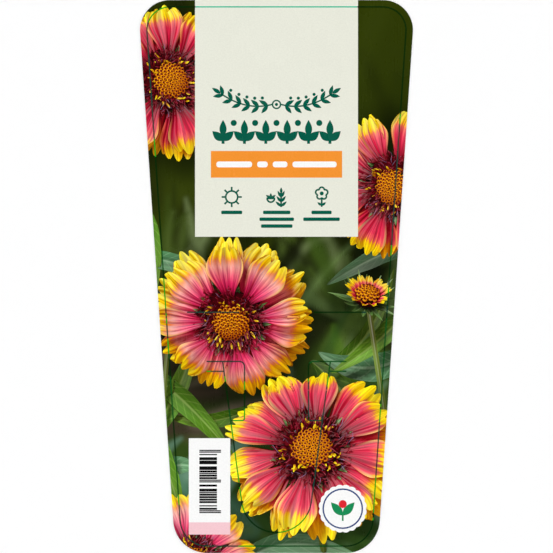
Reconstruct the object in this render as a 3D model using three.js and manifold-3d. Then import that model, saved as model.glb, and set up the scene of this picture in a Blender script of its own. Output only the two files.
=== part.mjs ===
// A plant label: one sheet of polypropylene, printed on its front, with the knife cuts of the
// tongue that slips behind the wall of a flower pot.
//
// Units are millimetres. The label lies on its back on the XY plane, with its printed front
// towards +Z and its wide end towards +Y. The origin is the middle of its back. Every cut is
// mirrored about the YZ plane.

import * as THREE from "three";
import { mergeVertices } from "three/addons/utils/BufferGeometryUtils.js";
import Module from "manifold-3d";

const wasm = await Module();
wasm.setup();

// --- driving dimensions ---------------------------------------------------------------------

const LABEL = {
  height: 263, // wide end to narrow end
  wideEndWidth: 131.8, // where the sides would meet the wide end without its round corners
  narrowEndWidth: 96.2, // the same at the narrow end
  thickness: 0.5,
  wideCornerRadius: 14.3,
  narrowCornerRadius: 16.2,
};

const TONGUE = {
  rootY: -40.4, // the pot's rim stops here
  rootWidth: 51.2,
  tipY: -121.7, // the tongue's free end
  tipRadius: 16.7,
  neckWidth: 30.4, // the flexing strip that joins the tongue to the label
};

// The two scraps beside the neck, which are pushed out when the label is put on a pot. Until
// then each one is held by a nick in both of its long edges.
const SCRAP = {
  endY: -68.5,
  upperCornerRadius: 2.4,
  lowerCornerRadius: 1.2,
  nickY: -54,
  nickLength: 0.6,
};

// Cuts that run outwards. The tongue's root line goes on to the same distance as the cut below
// it, which frees a small catch for the rim. The relief cut lets the sheet give over the rim.
const CATCH_CUT = { y: -45.1, outerX: 33.1 };
const RELIEF_CUT = { y: -17, innerX: 17.9, outerX: 42.4 };

const CUT_WIDTH = 0.3; // a knife leaves no gap, but two faces of one solid need one
const QUARTER_TURN_STEPS = 24; // flat steps that stand for a quarter turn

// --- shapes ---------------------------------------------------------------------------------

const point = (x, y) => new THREE.Vector2(x, y);

// A closed outline through the corners, each rounded to a tangent arc of its own radius.
function roundedOutline(corners) {
  const outline = new THREE.Shape();
  corners.forEach(({ at, radius }, i) => {
    const before = corners.at(i - 1).at;
    const after = corners[(i + 1) % corners.length].at;
    const toBefore = before.clone().sub(at).normalize();
    const toAfter = after.clone().sub(at).normalize();
    const halfAngle = Math.acos(toBefore.dot(toAfter)) / 2;
    const tangentLength = radius / Math.tan(halfAngle);
    const toCentre = toBefore.clone().add(toAfter).setLength(radius / Math.sin(halfAngle));
    const centre = at.clone().add(toCentre);
    const start = at.clone().addScaledVector(toBefore, tangentLength).sub(centre);
    const end = at.clone().addScaledVector(toAfter, tangentLength).sub(centre);
    outline.absarc(centre.x, centre.y, radius, start.angle(), end.angle(), false);
  });
  outline.closePath();
  return outline;
}

// Where a straight line from a point above a circle touches it, on the circle's +X side.
function tangentPoint(from, centre, radius) {
  const away = from.clone().sub(centre);
  const turn = -Math.acos(radius / away.length());
  return away.setLength(radius).rotateAround(point(0, 0), turn).add(centre);
}

// Points along an arc, from one angle to another.
function arcPoints(centre, radius, startAngle, endAngle) {
  const sweep = endAngle - startAngle;
  const steps = Math.ceil((Math.abs(sweep) / (Math.PI / 2)) * QUARTER_TURN_STEPS);
  return Array.from({ length: steps + 1 }, (_, i) => {
    const angle = startAngle + (sweep * i) / steps;
    return point(centre.x + radius * Math.cos(angle), centre.y + radius * Math.sin(angle));
  });
}

// The outline of a knife cut that follows a path.
function cutOutline(path) {
  const directions = path.slice(1).map((next, i) => next.clone().sub(path[i]).normalize());
  const offsets = path.map((_, i) => {
    const incoming = directions[Math.max(0, i - 1)];
    const outgoing = directions[Math.min(i, directions.length - 1)];
    const along = incoming.clone().add(outgoing).normalize();
    const across = point(-along.y, along.x);
    return across.multiplyScalar(CUT_WIDTH / 2 / along.dot(incoming));
  });
  const left = path.map((p, i) => p.clone().add(offsets[i]));
  const right = path.map((p, i) => p.clone().sub(offsets[i]));
  return new THREE.Shape([...left, ...right.reverse()]);
}

// --- solids ---------------------------------------------------------------------------------

function toSolid(geometry) {
  geometry.deleteAttribute("normal");
  geometry.deleteAttribute("uv");
  const merged = mergeVertices(geometry);
  const vertProperties = merged.attributes.position.array;
  const triVerts = new Uint32Array(merged.index.array);
  return new wasm.Manifold(new wasm.Mesh({ numProp: 3, vertProperties, triVerts }));
}

function toGeometry(solid) {
  const { vertProperties, triVerts } = solid.getMesh();
  const geometry = new THREE.BufferGeometry();
  geometry.setAttribute("position", new THREE.BufferAttribute(vertProperties, 3));
  geometry.setIndex(new THREE.BufferAttribute(triVerts, 1));
  geometry.computeVertexNormals();
  return geometry;
}

// A flat shape pulled up from z = 0. Each curve segment is two flat steps of an arc.
function extrude(shape, depth) {
  const curveSegments = QUARTER_TURN_STEPS / 2;
  return new THREE.ExtrudeGeometry(shape, { depth, bevelEnabled: false, curveSegments });
}

function blankSheet() {
  const end = LABEL.height / 2;
  const wide = LABEL.wideEndWidth / 2;
  const narrow = LABEL.narrowEndWidth / 2;
  const outline = roundedOutline([
    { at: point(wide, end), radius: LABEL.wideCornerRadius },
    { at: point(-wide, end), radius: LABEL.wideCornerRadius },
    { at: point(-narrow, -end), radius: LABEL.narrowCornerRadius },
    { at: point(narrow, -end), radius: LABEL.narrowCornerRadius },
  ]);
  return toSolid(extrude(outline, LABEL.thickness));
}

// A cut as a solid that goes right through the sheet and past both of its faces.
function knife(path) {
  const overrun = LABEL.thickness;
  const geometry = extrude(cutOutline(path), LABEL.thickness + 2 * overrun);
  geometry.translate(0, 0, -overrun);
  return toSolid(geometry);
}

// --- the knife's paths ----------------------------------------------------------------------

// The tongue's straight side on +X: it runs from the root line to the round tip.
const tipCentre = point(0, TONGUE.tipY + TONGUE.tipRadius);
const sideTop = point(TONGUE.rootWidth / 2, TONGUE.rootY);
const sideEnd = tangentPoint(sideTop, tipCentre, TONGUE.tipRadius);

function onSide(y) {
  return sideTop.clone().lerp(sideEnd, (y - sideTop.y) / (sideEnd.y - sideTop.y));
}

const neckX = TONGUE.neckWidth / 2;
const nickTop = SCRAP.nickY + SCRAP.nickLength / 2;
const nickEnd = SCRAP.nickY - SCRAP.nickLength / 2;

// The root line from the catch inwards, round the scrap's upper corner and down to its nick.
function rootPath() {
  const radius = SCRAP.upperCornerRadius;
  const cornerCentre = point(neckX + radius, TONGUE.rootY - radius);
  return [
    point(CATCH_CUT.outerX, TONGUE.rootY),
    ...arcPoints(cornerCentre, radius, Math.PI / 2, Math.PI),
    point(neckX, nickTop),
  ];
}

// Down from the nick, round the scrap's lower corner and out to the tongue's side.
function scrapEndPath() {
  const radius = SCRAP.lowerCornerRadius;
  const cornerCentre = point(neckX + radius, SCRAP.endY + radius);
  return [
    point(neckX, nickEnd),
    ...arcPoints(cornerCentre, radius, Math.PI, 1.5 * Math.PI),
    onSide(SCRAP.endY),
  ];
}

// Down one side of the tongue from the nick, round its tip and up the other side.
function tonguePath() {
  const sideAngle = sideEnd.clone().sub(tipCentre).angle() - 2 * Math.PI;
  const quarter = arcPoints(tipCentre, TONGUE.tipRadius, sideAngle, -Math.PI / 2);
  const half = [onSide(nickEnd), ...quarter];
  const otherHalf = half.slice(0, -1).map((p) => point(-p.x, p.y));
  return [...half, ...otherHalf.reverse()];
}

function mirroredPaths() {
  return [
    rootPath(),
    scrapEndPath(),
    [sideTop, onSide(nickTop)],
    [onSide(CATCH_CUT.y), point(CATCH_CUT.outerX, CATCH_CUT.y)],
    [point(RELIEF_CUT.innerX, RELIEF_CUT.y), point(RELIEF_CUT.outerX, RELIEF_CUT.y)],
  ];
}

// --- the label ------------------------------------------------------------------------------

function cutSheet() {
  let sheet = blankSheet().subtract(knife(tonguePath()));
  for (const path of mirroredPaths()) {
    const cut = knife(path);
    sheet = sheet.subtract(cut).subtract(cut.mirror([1, 0, 0]));
  }
  return toGeometry(sheet);
}

const printedPolypropylene = new THREE.MeshStandardMaterial({
  color: 0x37420a,
  roughness: 0.45,
  metalness: 0,
});

const labelSheet = new THREE.Mesh(cutSheet(), printedPolypropylene);
labelSheet.name = "label_sheet";

const label = new THREE.Group();
label.add(labelSheet);

export default label;
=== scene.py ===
import math

import bmesh
import bpy
import numpy as np
from mathutils import Matrix, Vector
from mathutils.bvhtree import BVHTree
from mathutils.geometry import convex_hull_2d


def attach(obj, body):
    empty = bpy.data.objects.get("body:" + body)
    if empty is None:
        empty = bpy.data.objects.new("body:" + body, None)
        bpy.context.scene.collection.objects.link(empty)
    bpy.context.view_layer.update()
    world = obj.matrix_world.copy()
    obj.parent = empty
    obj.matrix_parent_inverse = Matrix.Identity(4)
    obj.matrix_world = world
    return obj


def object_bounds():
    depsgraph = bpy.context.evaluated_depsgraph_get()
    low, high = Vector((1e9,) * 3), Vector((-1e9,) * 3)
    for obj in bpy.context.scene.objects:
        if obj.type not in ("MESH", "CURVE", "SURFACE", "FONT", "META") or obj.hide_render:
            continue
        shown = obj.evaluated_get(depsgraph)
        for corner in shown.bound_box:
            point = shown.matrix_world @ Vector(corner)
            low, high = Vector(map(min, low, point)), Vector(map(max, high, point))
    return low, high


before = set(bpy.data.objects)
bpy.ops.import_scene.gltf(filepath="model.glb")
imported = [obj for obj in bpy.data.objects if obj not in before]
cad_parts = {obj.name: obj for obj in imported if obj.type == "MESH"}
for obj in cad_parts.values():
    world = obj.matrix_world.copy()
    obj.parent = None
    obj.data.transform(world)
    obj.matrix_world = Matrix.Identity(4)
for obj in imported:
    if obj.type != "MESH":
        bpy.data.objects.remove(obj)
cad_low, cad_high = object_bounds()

# ---------------------------------------------------------------------------------------------
# The view. The label lies on a white table, face up, and is seen from straight above with its
# whole length in the frame. A long lens keeps its sides free of perspective.

MM = 0.001
LENS = 100.0
SENSOR = 36.0
VIEW_LENGTH = 263.0 * MM


def add_object(name, data):
    made = bpy.data.objects.new(name, data)
    bpy.context.scene.collection.objects.link(made)
    return made


camera_data = bpy.data.cameras.new("camera")
camera_data.lens = LENS
camera_data.sensor_width = SENSOR
camera = add_object("camera", camera_data)
camera.location = (0, 0, cad_high.z + VIEW_LENGTH * LENS / SENSOR)
bpy.context.scene.camera = camera
bpy.context.scene.view_settings.view_transform = "Standard"

# ---------------------------------------------------------------------------------------------
# The light. Four wide lamps stand low around the table, so that the satin print mirrors none of
# them towards the camera, and a pale room fills the shadows. The room is dimmer overhead.

LAMP_DISTANCE = 3.0
LAMP_HEIGHT = 2.2
LAMP_SIZE = 2.4
LAMP_POWER = 46.8
LAMP_SIDES = {"north": 90, "west": 180, "south": 270, "east": 0}
ROOM_LEVELS = (0.7, 0.04)  # around the table, and overhead
ROOM_DIMS = (0.35, 0.95)  # where it starts and ends to dim, on the way to straight up
WHITE = (1, 1, 1, 1)


def heading(degrees):
    """A level direction, one unit long."""
    return Vector((math.cos(math.radians(degrees)), math.sin(math.radians(degrees))))


def stand_lamp(side, degrees):
    lamp_data = bpy.data.lights.new(f"lamp_{side}", "AREA")
    lamp_data.shape = "SQUARE"
    lamp_data.size = LAMP_SIZE
    lamp_data.energy = LAMP_POWER
    place = (heading(degrees) * LAMP_DISTANCE).to_3d()
    place.z = LAMP_HEIGHT
    lamp = add_object(f"lamp_{side}", lamp_data)
    lamp.location = place
    lamp.rotation_euler = place.to_track_quat("Z", "Y").to_euler()


for side, degrees in LAMP_SIDES.items():
    stand_lamp(side, degrees)


def plug(tree, socket, value):
    """Links a socket to an output, or sets it to a plain value."""
    if isinstance(value, bpy.types.NodeSocket):
        tree.links.new(value, socket)
    else:
        socket.default_value = value


def add_node(tree, kind, inputs=None, **settings):
    """A new node, with what each of its inputs gets, by name or by number."""
    node = tree.nodes.new(kind)
    for name, value in settings.items():
        setattr(node, name, value)
    for socket, value in (inputs or {}).items():
        plug(tree, node.inputs[socket], value)
    return node


def span(tree, value, from_low, from_high, to_low=0.0, to_high=1.0):
    """The output of a node that maps one range of numbers on another, and stops at its ends."""
    ends = {"From Min": from_low, "From Max": from_high, "To Min": to_low, "To Max": to_high}
    return add_node(tree, "ShaderNodeMapRange", {"Value": value, **ends}).outputs["Result"]


room = bpy.data.worlds.new("room")
room.use_nodes = True
bpy.context.scene.world = room
room_tree = room.node_tree
room_tree.nodes.clear()
room_direction = add_node(room_tree, "ShaderNodeTexCoord").outputs["Generated"]
room_up = add_node(room_tree, "ShaderNodeSeparateXYZ", {"Vector": room_direction}).outputs["Z"]
room_light = {"Color": WHITE, "Strength": span(room_tree, room_up, *ROOM_DIMS, *ROOM_LEVELS)}
room_glow = add_node(room_tree, "ShaderNodeBackground", room_light).outputs["Background"]
add_node(room_tree, "ShaderNodeOutputWorld", {"Surface": room_glow})

# ---------------------------------------------------------------------------------------------
# The table: a plain board painted matt white, a little uneven in tone, and larger than any view
# of the label. The label lies loose on it.

TABLE_HALF_WIDTH = 3.0
TABLE_WHITES = ((0.94, 0.94, 0.94, 1), (0.97, 0.97, 0.97, 1))
TABLE_SPOTS = {"Scale": 3.0, "Detail": 4.0}

# A Mix node has sockets for every kind of value. These are the numbers of those for colours.
MIX_FACTOR, MIX_FIRST, MIX_SECOND, MIX_RESULT = 0, 6, 7, 2


def new_material(name, specular=0.15, roughness=0.35):
    """A material with its shader, which is satin ink where nothing else is said."""
    material = bpy.data.materials.new(name)
    material.use_nodes = True
    shader = material.node_tree.nodes["Principled BSDF"]
    shader.inputs["Roughness"].default_value = roughness
    shader.inputs["Specular IOR Level"].default_value = specular
    return material, material.node_tree, shader


def mixed(tree, factor, first, second, blend="MIX"):
    """The colour output of a node that blends two colours."""
    inputs = {MIX_FACTOR: factor, MIX_FIRST: first, MIX_SECOND: second}
    node = add_node(tree, "ShaderNodeMix", inputs, data_type="RGBA", blend_type=blend)
    return node.outputs[MIX_RESULT]


def table_material():
    material, tree, shader = new_material("table_paint", specular=0.1, roughness=0.9)
    spots = add_node(tree, "ShaderNodeTexNoise", TABLE_SPOTS).outputs["Fac"]
    tree.links.new(mixed(tree, spots, *TABLE_WHITES), shader.inputs["Base Color"])
    return material


def new_piece(name, points, faces, materials):
    """A mesh object at the origin, in the frame's own metres."""
    mesh = bpy.data.meshes.new(name)
    mesh.from_pydata(
        [tuple(map(float, p)) for p in points], [], [tuple(map(int, f)) for f in faces]
    )
    for material in materials:
        mesh.materials.append(material)
    return add_object(name, mesh)


table_corners = [
    (x * TABLE_HALF_WIDTH, y * TABLE_HALF_WIDTH, cad_low.z)
    for x, y in ((-1, -1), (1, -1), (1, 1), (-1, 1))
]
new_piece("table", table_corners, [(0, 1, 2, 3)], [table_material()])

# ---------------------------------------------------------------------------------------------
# The label's sheet: satin white polypropylene, stamped out of a roll with a knife. It keeps the
# roll's faint drawn streaks and a fine leathery skin, and has been handled a little.

INK_LEVEL = 1.06  # how bright white paper looks under these lamps, where 1 is the brightest white
FILM_GRAIN = 1400.0
FILM_STREAKS = (900.0, 12.0, 12.0)
FILM_CLOUDS = 45.0
STREAK_STRENGTH = 0.15
GRAIN_RANGE = (0.3, 0.7)
GLOSS_RANGE = (0.36, 0.80)
FILM_ROUGHNESS = (0.23, 0.31)
FILM_MOTTLE = (0.97, 1.03)
FILM_BUMP = 0.0018 * MM
HANDLED_PATCHES = 18.0
PATCH_RANGE = (0.35, 0.65)
SHEET_WHITES = ((238, 239, 236), (247, 247, 245))


def ink(red, green, blue):
    """A printed colour, from its look in steps of 255 on the usual curve of screens."""

    def linear(step):
        level = step / 255
        return level / 12.92 if level <= 0.04045 else ((level + 0.055) / 1.055) ** 2.4

    return tuple(linear(step) / INK_LEVEL for step in (red, green, blue)) + (1.0,)


def new_group(name, inputs, outputs):
    """An empty shader node group, from the kind of each socket, and what enters it."""
    group = bpy.data.node_groups.new(name, "ShaderNodeTree")
    for in_out, sockets in (("INPUT", inputs), ("OUTPUT", outputs)):
        for socket, kind in sockets.items():
            group.interface.new_socket(name=socket, in_out=in_out, socket_type=f"NodeSocket{kind}")
    return group, group.nodes.new("NodeGroupInput").outputs


def maths(tree, operation, first, second=0.0):
    """The output of a Math node."""
    return add_node(tree, "ShaderNodeMath", {0: first, 1: second}, operation=operation).outputs[0]


def own_place(tree):
    """The output of a node that gives each point's place on the label, in metres."""
    return add_node(tree, "ShaderNodeTexCoord").outputs["Object"]


def noise(tree, place, scale, detail=2.0):
    inputs = {"Vector": place, "Scale": scale, "Detail": detail}
    return add_node(tree, "ShaderNodeTexNoise", inputs).outputs["Fac"]


def film_group():
    """The skin of calendered plastic film, and of ink on it: fine grain in gloss and height."""
    outputs = {"Roughness": "Float", "Height": "Float", "Mottle": "Float"}
    group, _ = new_group("film_skin", {}, outputs)
    place = own_place(group)
    stretch = {"Vector": place, "Scale": FILM_STREAKS}
    drawn = add_node(group, "ShaderNodeMapping", stretch).outputs["Vector"]
    grain = noise(group, place, FILM_GRAIN)
    streaks = maths(group, "MULTIPLY", noise(group, drawn, 1.0), STREAK_STRENGTH)
    gloss = maths(group, "ADD", noise(group, place, FILM_CLOUDS, detail=4.0), streaks)
    results = {
        "Roughness": span(group, gloss, *GLOSS_RANGE, *FILM_ROUGHNESS),
        "Height": maths(group, "ADD", grain, streaks),
        "Mottle": span(group, grain, *GRAIN_RANGE, *FILM_MOTTLE),
    }
    add_node(group, "NodeGroupOutput", results)
    return group


FILM_SKIN = film_group()


def finish_film(tree, shader, colour):
    """Puts a colour, under the film's own skin, on a material's shader."""
    skin = add_node(tree, "ShaderNodeGroup", node_tree=FILM_SKIN).outputs
    tint = {0: colour, "Scale": skin["Mottle"]}
    mottled = add_node(tree, "ShaderNodeVectorMath", tint, operation="SCALE").outputs["Vector"]
    grain = {"Height": skin["Height"], "Distance": FILM_BUMP}
    plug(tree, shader.inputs["Base Color"], mottled)
    plug(tree, shader.inputs["Roughness"], skin["Roughness"])
    plug(tree, shader.inputs["Normal"], add_node(tree, "ShaderNodeBump", grain).outputs["Normal"])


def film_material(name, colours, scale, reach, detail=2.0, specular=0.15, alpha=1.0):
    """The material of film, or of ink on it, whose two colours run into each other in patches."""
    material, tree, shader = new_material(name, specular)
    patches = span(tree, noise(tree, own_place(tree), scale, detail), *reach)
    finish_film(tree, shader, mixed(tree, patches, *colours))
    shader.inputs["Alpha"].default_value = alpha
    return material


sheet_whites = [ink(*white) for white in SHEET_WHITES]
white_polypropylene = film_material(
    "white_polypropylene", sheet_whites, HANDLED_PATCHES, PATCH_RANGE, detail=5.0, specular=0.4
)
label_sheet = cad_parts["label_sheet"]
label_sheet.data.materials.clear()
label_sheet.data.materials.append(white_polypropylene)

# ---------------------------------------------------------------------------------------------
# The picture's ground: the ink that covers the whole front, a garden seen out of focus. It is
# painted stroke over stroke: dark gaps, soil, blades and leaves. It runs off the sheet on every
# side, as a print with a bleed does.

SHEET_FRONT = cad_high.z
GROUND_HEIGHT = 0.010
GROUND_STEP = 0.9 * MM
PLACE_DIGITS = 7  # corners that agree in this many digits of a metre are one corner


def outline_of(node):
    """The outer corners of a flat node, anticlockwise."""
    places = np.array([v.co.xy for v in node.data.vertices])
    flat = np.unique(places.round(PLACE_DIGITS), axis=0)
    corners = flat[convex_hull_2d([Vector(place) for place in flat])]
    after = np.roll(corners, -1, axis=0)
    area = (corners[:, 0] * after[:, 1] - corners[:, 1] * after[:, 0]).sum()
    return corners if area > 0 else corners[::-1]


LABEL_OUTLINE = outline_of(label_sheet)


def ground_grid():
    """Rows of points that fill the label's outline from side to side."""
    right = LABEL_OUTLINE[LABEL_OUTLINE[:, 0] > 0]
    right = right[np.argsort(right[:, 1])]
    even_rows = np.arange(cad_low.y + GROUND_STEP, cad_high.y, GROUND_STEP)
    rows = np.unique(np.concatenate([right[:, 1], even_rows]).round(PLACE_DIGITS))
    half_widths = np.interp(rows, right[:, 1], right[:, 0])
    columns = np.linspace(-1, 1, int(2 * right[:, 0].max() / GROUND_STEP))
    x = half_widths[:, None] * columns[None, :]
    y = np.repeat(rows[:, None], len(columns), axis=1)
    return np.stack([x, y, np.full_like(x, SHEET_FRONT + GROUND_HEIGHT * MM)], axis=-1)


def bezier(start, bend, end, steps):
    """Points along a curve with one bend."""
    t = np.linspace(0, 1, steps)[:, None]
    start, bend, end = (np.asarray(p, float) for p in (start, bend, end))
    return (1 - t) ** 2 * start + 2 * t * (1 - t) * bend + t**2 * end


def smooth(value):
    value = np.clip(value, 0, 1)
    return value * value * (3 - 2 * value)


def brush(picture, places, path, widths, blur, tint, strength, ridge):
    """Lays one soft stroke on the picture along a path, all in millimetres. Its middle line is
    lighter by the ridge."""
    cover = np.zeros(len(places))
    nearest = np.full(len(places), np.inf)
    knots = np.linspace(0, 1, len(path))
    for i in range(len(path) - 1):
        step = path[i + 1] - path[i]
        share = np.clip(((places - path[i]) @ step) / (step @ step), 0, 1)
        distance = np.linalg.norm(places - path[i] - share[:, None] * step, axis=1)
        along = knots[i] + share * (knots[i + 1] - knots[i])
        width = np.interp(along, np.linspace(0, 1, len(widths)), widths)
        cover = np.maximum(cover, smooth((width + blur - distance) / (2 * blur)))
        nearest = np.minimum(nearest, distance / np.maximum(width, THINNEST_STROKE))
    lit = 1 + ridge * np.clip(1 - nearest, 0, 1)
    cover = (cover * strength)[:, None]
    picture[:] = picture * (1 - cover) + np.asarray(tint[:3]) * lit[:, None] * cover


# Each part of the garden: its middle and spread, how many strokes it has, how long and wide and
# blurred they are, which way most of them lean, and their colours.
GARDEN = [
    dict(middle=(0, 75), spread=(62, 60), count=40, length=70, width=5.0, blur=6.0, lean=82,
         tints=[(46, 57, 3), (34, 44, 4), (56, 68, 10), (26, 33, 3), (50, 62, 6)]),
    dict(middle=(0, 8), spread=(60, 14), count=34, length=40, width=2.6, blur=2.4, lean=78,
         tints=[(78, 96, 40), (52, 68, 18), (18, 20, 5), (112, 128, 80), (36, 46, 8), (24, 28, 6)]),
    dict(middle=(-40, -48), spread=(20, 30), count=18, length=30, width=4.2, blur=3.2, lean=20,
         tints=[(88, 82, 54), (60, 48, 38), (112, 100, 82), (38, 32, 20), (70, 74, 34)]),
    dict(middle=(40, -14), spread=(24, 28), count=24, length=52, width=3.2, blur=2.4, lean=62,
         tints=[(60, 84, 26), (82, 106, 40), (40, 58, 14), (28, 38, 10), (98, 122, 66)]),
    dict(middle=(38, -78), spread=(22, 34), count=24, length=60, width=3.4, blur=1.8, lean=66,
         tints=[(84, 120, 34), (60, 98, 26), (104, 138, 56), (112, 146, 108), (42, 78, 28)]),
    dict(middle=(-32, -106), spread=(28, 18), count=18, length=42, width=4.0, blur=2.0, lean=30,
         tints=[(80, 122, 94), (56, 90, 58), (104, 142, 118), (34, 58, 28), (66, 96, 40)]),
    dict(middle=(12, -124), spread=(50, 10), count=14, length=34, width=3.6, blur=2.0, lean=12,
         tints=[(56, 88, 32), (36, 60, 18), (82, 114, 66)]),
]
GROUND_ROWS = (-131.5, -90, -45, -10, 16, 45, 131.5)
GROUND_TINTS = (
    (46, 72, 26), (50, 76, 24), (48, 56, 22), (30, 36, 12), (26, 31, 8), (42, 52, 6), (46, 57, 2)
)

# How much one stroke differs from the next, in shares of the numbers above, and its own shape.
GARDEN_SEED = 11
LEAN_SPREAD = 22
LEANS_OTHER_WAY = 0.4
LENGTH_SHARES = (0.6, 1.3)
WIDTH_SHARES = (0.5, 1.5)
BLUR_SHARES = (0.7, 1.4)
STROKE_BEND = 0.14
STROKE_COVER = (0.55, 0.95)
STROKE_RIDGE = (-0.15, 0.35)
STROKE_TAPER = (0.9, 1.0, 0.2)
STROKE_KNOTS = 9
THINNEST_STROKE = 0.1

# Each bloom's centre and radius. Its shade falls on what is printed below it.
BLOOM_PLACES = {
    "bloom_middle": ((-21.0, -19.8), 40.0),
    "bloom_low": ((17.1, -83.6), 43.8),
    "bloom_left": ((-51.4, 92.6), 38.0),
    "bloom_right": ((57.1, 43.1), 38.0),
    "bloom_corner": ((-41.0, -137.9), 36.0),
    "bud": ((43.0, -10.5), 20.0),
}
SHADE_OFFSET = (0.05, -0.09)
SHADE_REACH = (0.80, 1.28)
SHADE_DEPTH = 0.62


def shade_of(blooms, places):
    """How much light blooms leave for places below them, all in millimetres."""
    light = np.ones(len(places))
    near, far = SHADE_REACH
    for name in blooms:
        centre, radius = BLOOM_PLACES[name]
        away = (places - centre) / radius - SHADE_OFFSET
        distance = np.linalg.norm(away, axis=1)
        light *= 1 - SHADE_DEPTH * smooth((far - distance) / (far - near))
    return light


def paint_ground(places):
    """The colour of the picture's ground at each place, in millimetres."""
    rng = np.random.default_rng(GARDEN_SEED)
    base = np.array([ink(*tint)[:3] for tint in GROUND_TINTS])
    picture = np.stack(
        [np.interp(places[:, 1], GROUND_ROWS, base[:, i]) for i in range(3)], axis=1
    )
    for patch in GARDEN:
        for _ in range(patch["count"]):
            middle = np.array(patch["middle"]) + rng.uniform(-1, 1, 2) * patch["spread"]
            angle = math.radians(patch["lean"] + rng.normal(0, LEAN_SPREAD))
            if rng.random() < LEANS_OTHER_WAY:
                angle = math.pi - angle
            reach = np.array([math.cos(angle), math.sin(angle)]) * patch["length"] / 2
            reach = reach * rng.uniform(*LENGTH_SHARES)
            bend = middle + rng.normal(0, STROKE_BEND * patch["length"], 2)
            width = patch["width"] * rng.uniform(*WIDTH_SHARES)
            brush(
                picture,
                places,
                path=bezier(middle - reach, bend, middle + reach, STROKE_KNOTS),
                widths=[width * share for share in STROKE_TAPER],
                blur=patch["blur"] * rng.uniform(*BLUR_SHARES),
                tint=ink(*patch["tints"][rng.integers(len(patch["tints"]))]),
                strength=rng.uniform(*STROKE_COVER),
                ridge=rng.uniform(*STROKE_RIDGE),
            )
    return picture * shade_of(BLOOM_PLACES, places)[:, None]


def mark(tree, name, output="Fac"):
    """The output of a node that reads one of the mesh's own marks."""
    return add_node(tree, "ShaderNodeAttribute", attribute_name=name).outputs[output]


def ground_material():
    material, tree, shader = new_material("garden_print")
    finish_film(tree, shader, mark(tree, "garden", "Color"))
    return material


def plan_map(mesh):
    """A flat map of a mesh as it is seen from above."""
    flat = np.array([v.co.xy for v in mesh.vertices])
    corners = np.array([loop.vertex_index for loop in mesh.loops])
    places = (flat[corners] - flat.min(0)) / np.ptp(flat, axis=0).max()
    layer = mesh.uv_layers.new(name="OFBake")
    layer.data.foreach_set("uv", places.astype(np.float32).ravel())


def grid_faces(rows, columns, first=0):
    """The faces of a grid of points, whose first point has that number."""
    corner = first + np.arange(rows - 1)[:, None] * columns + np.arange(columns - 1)[None, :]
    corner = corner.ravel()
    return np.stack([corner, corner + 1, corner + columns + 1, corner + columns], axis=1)


def print_on_label(piece):
    """Every printed piece rides on the label: it is attached to the root body."""
    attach(piece, "root")
    return piece


def lay_ground():
    grid = ground_grid()
    points = grid.reshape(-1, 3)
    piece = new_piece("picture_ground", points, grid_faces(*grid.shape[:2]), [ground_material()])
    colours = np.ones((len(points), 4))
    colours[:, :3] = paint_ground(points[:, :2] / MM)
    layer = piece.data.attributes.new("garden", "FLOAT_COLOR", "POINT")
    layer.data.foreach_set("color", colours.astype(np.float32).ravel())
    plan_map(piece.data)
    print_on_label(piece)


lay_ground()

# ---------------------------------------------------------------------------------------------
# The picture's leaves and stems, in focus before the garden. Every plant in it is modelled in
# the round, lit by an open sky and a soft sun, and pressed flat into the ink at its own place.
# What lies hidden under something else is left out of the print.

SUN = Vector((-0.38, 0.50, 0.78)).normalized()
SUN_SEED = 5
SUN_SPREAD = 0.10
SUN_RAYS = 4
SUN_SHARE = 0.84
SKY_RAYS = 20
SKY_SHARE = 0.56
RAY_START = 0.05 * MM
SHINE_WIDTH = 14
SHORTEST_SIDE = 1e-12  # this and the next keep pointed ends from a division by zero
SHORTEST_NORMAL = 1e-15
GOLDEN_TURN = math.pi * (3 - math.sqrt(5))
UP = Vector((0, 0, 1))


def sky_directions():
    """Directions spread evenly over the half sphere above."""
    directions = []
    for i in range(SKY_RAYS):
        height = (i + 0.5) / SKY_RAYS
        across = math.sqrt(1 - height * height)
        angle = i * GOLDEN_TURN
        directions.append(Vector((across * math.cos(angle), across * math.sin(angle), height)))
    return directions


def sun_directions():
    rng = np.random.default_rng(SUN_SEED)
    return [(SUN + Vector(rng.normal(0, SUN_SPREAD, 3))).normalized() for _ in range(SUN_RAYS)]


SKY = sky_directions()
SUNBEAMS = sun_directions()


class Plant:
    """The grids of points that a plant is made of, with three marks on every point: how far
    along and across its petal or leaf it lies, and the petal's own tone."""

    def __init__(self):
        self.points = []
        self.normals = []
        self.marks = []
        self.faces = []
        self.parts = []
        self.count = 0

    def add_grid(self, points, along, across, tone, part):
        rows, columns = points.shape[:2]
        normals = np.cross(np.gradient(points, axis=1), np.gradient(points, axis=0))
        lengths = np.linalg.norm(normals, axis=-1, keepdims=True)
        normals = normals / np.maximum(lengths, SHORTEST_NORMAL)
        normals = np.where(normals[..., 2:] < 0, -normals, normals)
        marks = [np.broadcast_to(m, (rows, columns)) for m in (along, across, tone)]
        faces = grid_faces(rows, columns, self.count)
        self.points.append(points.reshape(-1, 3))
        self.normals.append(normals.reshape(-1, 3))
        self.marks.append(np.stack(marks, axis=-1).reshape(-1, 3))
        self.faces.append(faces)
        self.parts.append(np.full(len(faces), part))
        self.count += rows * columns

    def add_blade(self, points, tone, part):
        """A leaf, stem or hair, whose rows run from its root to its tip."""
        along = np.linspace(0, 1, len(points))[:, None]
        across = np.linspace(-1, 1, points.shape[1])[None, :]
        self.add_grid(points, along, across, tone, part)

    def joined(self):
        lists = (self.points, self.normals, self.marks, self.faces, self.parts)
        return [np.concatenate(each) for each in lists]


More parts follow.
